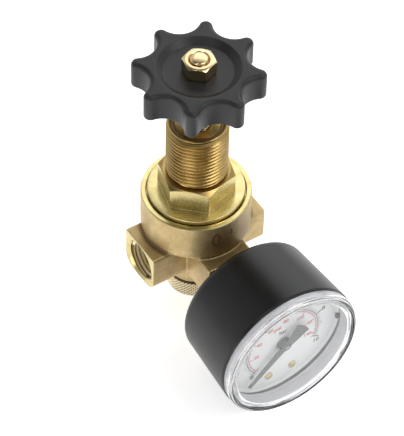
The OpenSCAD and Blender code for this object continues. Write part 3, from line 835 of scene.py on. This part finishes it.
def make_cap():
    """Bottom cap, knurled round its head with raised crossing ridges; the pits between them are darkened as
    painted shade.
    """
    pitch = 1.25
    count = round(TAU * CAP_R / pitch)
    per = 6
    steps = count * per
    depth = 0.6
    low, high = 0.85, CAP_TOP - 0.3
    angles = even_angles(steps)

    def tooth(x):
        return 1 - abs((x % 1.0) * 2 - 1)

    def knurl(z):
        fade = min(1.0, (z - low) / 0.25 + 0.25, (high - z) / 0.25 + 0.25)
        ring = []
        for a in angles:
            u = a / TAU * count
            height = max(tooth(u + z / pitch), tooth(u - z / pitch))
            r = CAP_R - depth * (1 - min(1.0, height * 1.25) * fade)
            ring.append((r * math.cos(a), r * math.sin(a), z))
        return ring

    head = rounded([(0, 0.25), (6.2, 0.25), (6.5, 0), (CAP_R - 0.75, 0, 0.25), (CAP_R - 0.25, low - 0.2)],
                   closed=False)
    shank = rounded([
        (CAP_R - 0.15, high + 0.08), (CAP_R - 0.35, CAP_TOP, 0.1), (8.2, CAP_TOP), (8.2, BODY_BASE),
        (7.45, BODY_BASE), (7.45, 13.6), (4.6, 13.6), (4.6, 4), (1.86, 4), (1.86, 1.5), (0, 1.5)],
        closed=False)
    rings = round_rings(angles, head)
    rows = round((high - low) / pitch * per)
    rings += [knurl(low + (high - low) * i / rows) for i in range(rows + 1)]
    rings += round_rings(angles, shank)
    cap = add_piece("cap_knurled", loft(rings), "root", "machined_brass", ["bottom_cap"], sharp=40)
    cap.data.materials.append(MAT["knurl_painted_light_and_shade_brass"])
    cap.data.materials.append(MAT["painted_shade_brass"])
    for polygon in cap.data.polygons:
        x, y, z = polygon.center / MM
        # The knurl takes brass with painted light and painted shade; the neck above it takes painted shade.
        if low < z < high and math.hypot(x, y) > CAP_R - depth - 0.1:
            polygon.material_index = 1
        elif high < z < BODY_BASE:
            polygon.material_index = 2


# ---------------------------------------------------------------- star handwheel

def star_ring(inset, z):
    """The wheel's outline, moved inwards by inset: round lobe tips and the valley arcs between them."""
    tip_round = 2.2
    valley_r = 15.9
    half = math.radians(180 / LOBES)
    tip_c = WHEEL_R - tip_round
    dx = tip_c * math.cos(half) - valley_r
    dy = tip_c * math.sin(half)
    valley_round = (dy * dy + dx * dx - tip_round * tip_round) / (2 * (tip_round + dx))
    valley_c = valley_r + valley_round
    meet = math.atan2(valley_c * math.sin(half), valley_c * math.cos(half) - tip_c)
    ring = []
    for i in range(LOBES):
        turn = math.radians(LOBE_TURN) + 2 * half * i
        for k in range(11):
            a = turn + meet * (k / 5 - 1)
            r = tip_round - inset
            ring.append((tip_c * math.cos(turn) + r * math.cos(a),
                         tip_c * math.sin(turn) + r * math.sin(a), z))
        for k in range(1, 18):
            a = turn + math.pi + meet + 2 * (half - meet) * k / 18
            r = valley_round + inset
            ring.append((valley_c * math.cos(turn + half) + r * math.cos(a),
                         valley_c * math.sin(turn + half) + r * math.sin(a), z))
    return ring


def make_handwheel():
    """Moulded star wheel with a dished top, rounded edges and a hollow underside."""
    outline = star_ring(0, 0)
    angles = [math.radians(LOBE_TURN) + TAU * (i - 5) / len(outline) for i in range(len(outline))]
    top_round, low_round = 1.5, 1.0
    dish_floor = NUT_BASE

    def star_edge(base, radius, rising):
        rings = []
        for k in range(8):
            a = k / 7 * math.pi / 2
            inset = radius * (1 - math.cos(a))
            lift = radius * (1 - math.sin(a))
            rings.append(star_ring(inset, base - lift if rising else base + lift))
        return rings

    dish = rounded([(3.0, dish_floor), (11.0, dish_floor, 0.9), (13.25, WHEEL_TOP, 0.4), (14.0, WHEEL_TOP)],
                   closed=False, steps=5)
    under = rounded([
        (14.6, WHEEL_BASE), (13.2, WHEEL_BASE, 0.4), (12.9, WHEEL_BASE + 4.5, 0.6),
        (7.2, WHEEL_BASE + 4.5, 0.6), (7.0, WHEEL_BASE, 0.4), (3.0, WHEEL_BASE)], closed=False, steps=4)
    rings = round_rings(angles, dish)
    rings.append(star_ring(top_round + 0.3, WHEEL_TOP))
    rings += list(reversed(star_edge(WHEEL_TOP, top_round, True)))
    rings += star_edge(WHEEL_BASE, low_round, False)
    rings.append(star_ring(low_round + 0.3, WHEEL_BASE))
    rings += round_rings(angles, under)
    add_piece("star_wheel", loft(rings, join_ends=True), "wheel", "handwheel_plastic",
              ["handwheel"], sharp=50)


# ---------------------------------------------------------------- gauge

def make_case():
    """Black gauge case: drafted wall, rounded back and a rolled lip round the lens."""
    wall = 3.0
    outline = rounded([
        (7.0, CASE_BACK, 0), (22.8, CASE_BACK, 2.8), (23.0, CASE_BACK + 3.2, 0),
        (CASE_R, CASE_FRONT - 0.9, 0.3), (CASE_R - 0.25, CASE_FRONT, 0.3), (SKIRT_R + 0.12, CASE_FRONT, 0.15),
        (SKIRT_R + 0.12, LENS_SEAT - 0.05, 0), (21.5, LENS_SEAT - 0.05, 0.2), (21.5, CASE_BACK + wall, 0.8),
        (7.0, CASE_BACK + wall, 0)], steps=7)
    add_piece("case_shell", moved(turned(outline, 192), on_gauge), "root", "case_plastic",
              ["gauge_case"], sharp=30)


def make_lens():
    """Clear lens: a skirt inside the case, a flange over the case's lip, two beads and the window."""
    lip = CASE_FRONT + 0.05
    front = LENS_FRONT
    outline = rounded([
        (0, LENS_INNER), (20.9, LENS_INNER, 0.3), (21.3, LENS_INNER - 0.5, 0.2),
        (22.45, LENS_INNER - 0.5, 0.4), (22.45, LENS_SEAT), (SKIRT_R, LENS_SEAT), (SKIRT_R, lip),
        (LENS_R, lip, 0.15),
        (LENS_R, front - 1.2, 0.8), (23.5, front, 0.5), (22.95, front, 0.2), (22.8, front - 0.4, 0.12),
        (22.45, front - 0.4, 0.12), (22.3, front - 0.1, 0.15), (21.6, front - 0.1, 0.2),
        (21.3, front - 0.3, 0.15), (0, front - 0.3)], closed=False, steps=5)
    add_piece("lens_clear", moved(turned(outline, 192, join_ends=False), on_gauge), "root", "lens_plastic",
              ["gauge_lens"], sharp=40)


def arc_band(radius, width, start, end, low, high):
    """A flat printed arc."""
    steps = max(4, int(abs(end - start) / 3))
    outer = [polar(radius + width / 2, start + (end - start) * i / steps) for i in range(steps + 1)]
    inner = [polar(radius - width / 2, start + (end - start) * i / steps) for i in range(steps, -1, -1)]
    rings = [[(*outer[i], low), (*outer[i], high), (*inner[steps - i], high), (*inner[steps - i], low)]
             for i in range(steps + 1)]
    return loft(rings)


def tick(angle, r_in, r_out, width, low, high):
    """A flat printed line that points at the dial's centre."""
    c, s = math.cos(math.radians(angle)), math.sin(math.radians(angle))
    corners = [(r_in, -width / 2), (r_out, -width / 2), (r_out, width / 2), (r_in, width / 2)]
    return prism([(r * c - w * s, r * s + w * c) for r, w in corners], low, high)


def number(name, text, size, radius, angle, material):
    """An upright printed number centred at a place on the dial."""
    curve = bpy.data.curves.new(name, "FONT")
    curve.body = text
    curve.size = size * MM
    curve.offset = 0.02 * size * MM
    curve.extrude = 0.015 * MM
    curve.align_x = "CENTER"
    curve.align_y = "CENTER"
    source = add_object(name + "_text", curve)
    mesh = bpy.data.meshes.new_from_object(source.evaluated_get(bpy.context.evaluated_depsgraph_get()))
    bpy.data.objects.remove(source)
    x, y = polar(radius, angle)
    for v in mesh.vertices:
        place = on_gauge((v.co.x / MM + x, v.co.y / MM + y, v.co.z / MM + DIAL_FACE + 0.02))
        v.co = Vector(place) * MM
    mesh.materials.clear()
    return finish_piece(add_object(name, mesh), "root", MAT[material])


def scale_angle(share):
    """Direction of a share of full scale: 0 lies lower left, 1 lower right, over the top."""
    return SCALE_START - SCALE_SWEEP * share


def make_dial_print():
    """The dial's raised rim, a black scale to 10 and a red one to 145, with their numbers and unit names."""
    low, high = DIAL_FACE - 0.01, DIAL_FACE + 0.025
    rim = rounded([(21.3, low), (DIAL_R, low), (DIAL_R, DIAL_FACE + 0.6, 0.1),
                   (21.95, DIAL_FACE + 0.55, 0.25)])
    add_piece("dial_rim", moved(turned(rim, 160), on_gauge), "root", "dial_white")
    black = [arc_band(14.0, 0.28, scale_angle(0), scale_angle(1), low, high)]
    for i in range(51):
        major, middle = i % 10 == 0, i % 5 == 0
        reach = 2.5 if major else 1.8 if middle else 1.2
        black.append(tick(scale_angle(i / 50), 13.9, 14.0 + reach, 0.46 if major else 0.22, low, high))
    add_piece("scale_bar", moved(together(black), on_gauge), "root", "dial_white", material="ink_black")
    red = [arc_band(13.3, 0.28, scale_angle(0), scale_angle(1), low, high)]
    for i in range(30):
        reach = 1.4 if i % 4 == 0 else 0.8
        red.append(tick(scale_angle(i / 29), 13.35 - reach, 13.35, 0.34 if i % 4 == 0 else 0.22, low, high))
    add_piece("scale_psi", moved(together(red), on_gauge), "root", "dial_white", material="ink_red")
    for value in range(0, 11, 2):
        shift = {0: -3, 10: 7}.get(value, 0)
        spread = 16.2 if shift else 17.3
        number(f"bar_{value}", str(value), 2.5, spread, scale_angle(value / 10) - shift, "ink_black")
    for value in range(20, 141, 20):
        number(f"psi_{value}", str(value), 2.1, 10.4, scale_angle(value / 145), "ink_red")
    number("unit_bar", "bar", 2.3, 5.4, 92, "ink_black")
    number("unit_psi", "psi", 2.6, 8.7, 106, "ink_red")


def make_dial_screws():
    """Two small cheese-head screws, each with its slot, below the dial's centre."""
    head_r, head_h, slot = 1.45, 0.75, 0.2
    parts = []
    for x in (-SCREW_X, SCREW_X):
        outline = rounded([(0, DIAL_FACE - 0.01), (head_r, DIAL_FACE - 0.01),
                           (head_r, DIAL_FACE + head_h, 0.35), (0, DIAL_FACE + head_h)],
                          closed=False, steps=4)
        head = add_object("head", mesh_of("head", turned(outline, 40, join_ends=False)))
        reach = head_r + 1
        bar = prism([(-reach, -slot), (reach, -slot), (reach, slot), (-reach, slot)],
                    DIAL_FACE + head_h - 0.35, DIAL_FACE + head_h + 1)
        boolean(head, add_object("slot", mesh_of("slot", bar)))
        lean = math.radians(25 if x < 0 else -40)
        verts = []
        for v in head.data.vertices:
            px, py, pz = v.co / MM
            verts.append((px * math.cos(lean) - py * math.sin(lean) + x,
                          px * math.sin(lean) + py * math.cos(lean) + SCREW_Y, pz))
        parts.append((verts, [tuple(p.vertices) for p in head.data.polygons]))
        bpy.data.objects.remove(head)
    add_piece("dial_screw_heads", moved(together(parts), on_gauge), "root", "bright_brass", ["dial_screws"],
              sharp=30, material="machined_brass")


def make_pointer():
    """Stamped pointer on a turned hub: a tapered blade, and a fan-shaped counterweight a step higher."""
    tip, tail_r = 18.9, 9.2
    low = POINTER_OUT
    hub_low = DIAL_FACE + 0.25
    blade = [(0, 1.6), (0, -1.6), (tip - 0.4, -0.75), (tip, -0.45), (tip, 0.45), (tip - 0.4, 0.75)]
    fan = [(0, -1.3), (0, 1.3)] + [polar(tail_r, 180 + i * 3.5) for i in range(-6, 7)]
    parts = []
    for outline, base in ((blade, low), (fan, low + 0.4)):
        mesh = mesh_of("plate", prism(outline, base, base + 0.48))
        soften_edges(mesh, 0.1)
        verts = [tuple(v.co / MM) for v in mesh.vertices]
        faces = [tuple(f.vertices) for f in mesh.polygons]
        c, s = polar(1, POINTER_ZERO)
        parts.append(([(x * c - y * s, x * s + y * c, z) for x, y, z in verts], faces))
    parts.append(turned(rounded([
        (0, hub_low), (2.45, hub_low, 0.1), (2.45, hub_low + 0.45, 0.15), (1.95, hub_low + 0.45, 0.1),
        (1.95, low + 0.95, 0.25), (1.0, low + 0.95, 0.05), (0.85, low + 0.8, 0.1), (0.6, low + 0.8, 0.05),
        (0.6, low + 1.3, 0.3), (0, low + 1.3)], closed=False, steps=4), 64, join_ends=False))
    add_piece("pointer_blade", moved(together(parts), on_gauge), "pointer", "pointer_grey",
              ["pointer"], sharp=30)


def make_dial_ring():
    """Liner round the dial, mid grey as painted shade; its beaded foot stands clear of the dial's rim."""
    top = 55.9
    foot = DIAL_FACE + 1.85
    outline = rounded([
        (21.75, foot, 0.1), (22.38, foot), (22.38, top, 0.12), (21.98, top, 0.1), (21.82, top - 0.3),
        (21.82, foot + 0.6, 0.1), (21.62, foot + 0.42, 0.1), (21.62, foot + 0.1)], steps=3)
    add_piece("liner_ring", moved(turned(outline, 160), on_gauge), "root", "ring_white",
              ["dial_ring"], sharp=40)


# ---------------------------------------------------------------- springs

def coil_spring(name, body, node, mid_r, wire_r, low, high, turns):
    """A round-wire compression spring with closed ends."""
    steps = 40
    total = int(turns * steps)
    dead = 0.9 / turns
    rise_dead = 2 * wire_r * 0.9
    reach = high - low - 2 * wire_r
    rings = []
    for i in range(total + 1):
        t = i / total
        if t < dead:
            z = rise_dead * t / dead
        elif t > 1 - dead:
            z = reach - rise_dead * (1 - t) / dead
        else:
            z = rise_dead + (reach - 2 * rise_dead) * (t - dead) / (1 - 2 * dead)
        a = TAU * turns * t
        ring = []
        for k in range(12):
            b = TAU * k / 12
            r = mid_r + wire_r * math.cos(b)
            ring.append((r * math.cos(a), r * math.sin(a), low + wire_r + z + wire_r * math.sin(b)))
        rings.append(ring)
    piece = add_piece(name, loft(rings), body, "spring_steel", [node], sharp=40)
    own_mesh(piece)


# ---------------------------------------------------------------- studio

def make_camera():
    """Camera at the picture's viewing angle, moved sideways so that its view needs no shift."""
    azimuth, elevation, roll = math.radians(-33.75), math.radians(48.4), math.radians(1.5)
    distance, aside, above = 0.933, 0.00227, 0.00643
    back = Vector((math.sin(azimuth) * math.cos(elevation), -math.cos(azimuth) * math.cos(elevation),
                   math.sin(elevation)))
    level = Vector((math.cos(azimuth), math.sin(azimuth), 0))
    upright = back.cross(level)
    right = level * math.cos(roll) + upright * math.sin(roll)
    up = upright * math.cos(roll) - level * math.sin(roll)
    data = bpy.data.cameras.new("camera")
    data.lens = 236.1
    data.sensor_width = 36
    camera = bpy.data.objects.new("camera", data)
    SCENE.collection.objects.link(camera)
    matrix = camera.matrix_world.copy()
    for row in range(3):
        matrix[row][0], matrix[row][1], matrix[row][2] = right[row], up[row], back[row]
        matrix[row][3] = (Vector((0, 0, GAUGE_Z * MM)) + back * distance + right * aside + up * above)[row]
    camera.matrix_world = matrix
    data.clip_start, data.clip_end = 0.01, 20
    SCENE.camera = camera


def area_light(name, place, target, size, power, colour=(1, 1, 1)):
    data = bpy.data.lights.new(name, "AREA")
    data.shape = "RECTANGLE"
    data.size, data.size_y = size
    data.energy = power
    data.color = colour
    light = bpy.data.objects.new(name, data)
    SCENE.collection.objects.link(light)
    light.location = place
    light.rotation_mode = "QUATERNION"
    light.rotation_quaternion = (Vector(place) - Vector(target)).to_track_quat("Z", "Y")


def make_studio():
    """Light table, a pale surround that darkens high on the left, and four soft boxes."""
    low = cad_box[0].z - 0.0002
    mesh = bpy.data.meshes.new("floor")
    size = 6.0
    mesh.from_pydata([(-size, -size, low), (size, -size, low), (size, size, low), (-size, size, low)], [],
                     [(0, 1, 2, 3)])
    floor = add_object("floor", mesh)
    mesh.materials.append(floor_acrylic())
    world = bpy.data.worlds.new("surround")
    world.use_nodes = True
    tree = world.node_tree
    towards = tree.nodes.new("ShaderNodeTexCoord")
    facing = tree.nodes.new("ShaderNodeVectorMath")
    facing.operation = "DOT_PRODUCT"
    facing.inputs[1].default_value = (-0.35, -0.1, 0.93)
    tree.links.new(towards.outputs["Generated"], facing.inputs[0])
    fade = tree.nodes.new("ShaderNodeMapRange")
    fade.interpolation_type = "SMOOTHSTEP"
    fade.inputs["From Min"].default_value = 0.50
    fade.inputs["From Max"].default_value = 0.92
    fade.inputs["To Min"].default_value = 0.80
    fade.inputs["To Max"].default_value = 0.10
    tree.links.new(facing.outputs["Value"], fade.inputs["Value"])
    tree.nodes["Background"].inputs["Color"].default_value = (0.97, 0.985, 1.0, 1)
    tree.links.new(fade.outputs["Result"], tree.nodes["Background"].inputs["Strength"])
    SCENE.world = world
    middle = (0, -0.015, 0.045)
    area_light("key", (0.31, -0.39, 0.92), middle, (0.35, 0.5), 2.4)
    area_light("top_left", (-0.37, -0.10, 0.97), middle, (0.25, 0.5), 1.0)
    area_light("right_back", (0.74, 0.65, 0.70), middle, (1.0, 0.9), 3.4)
    area_light("low_left", (-0.46, -0.20, 0.07), middle, (0.35, 0.25), 0.55)
    SCENE.view_settings.view_transform = "Standard"


# ---------------------------------------------------------------- assembly

def dress_cad_nodes():
    """Gives every CAD node that stays visible its own material."""
    slots = {p["node"]: p["material_slot"] for p in frame["record"]["subparts"]}
    gauge_inside = ("gauge_socket", "dial_posts", "bourdon_tube", "tube_end", "sector_gear", "rear_plate",
                    "front_plate", "plate_pillars")
    for name, node in frame["nodes"].items():
        material = MAT["gauge_brass"] if name in gauge_inside else MAT[slots[name]]
        node.data.materials.clear()
        node.data.materials.append(material)


dress_cad_nodes()
make_body()
cup_mark()
make_bonnet()
make_spindle()
make_nut()
make_cap()
make_handwheel()
make_case()
make_lens()
make_dial_ring()
make_dial_print()
make_dial_screws()
make_pointer()
coil_spring("setting_coil", "root", "setting_spring", 5.85, 1.05, 36.0, 61.6, 6.5)
coil_spring("valve_coil", "root", "valve_spring", 3.6, 0.4, 4.0, 16.0, 6)
make_camera()
make_studio()
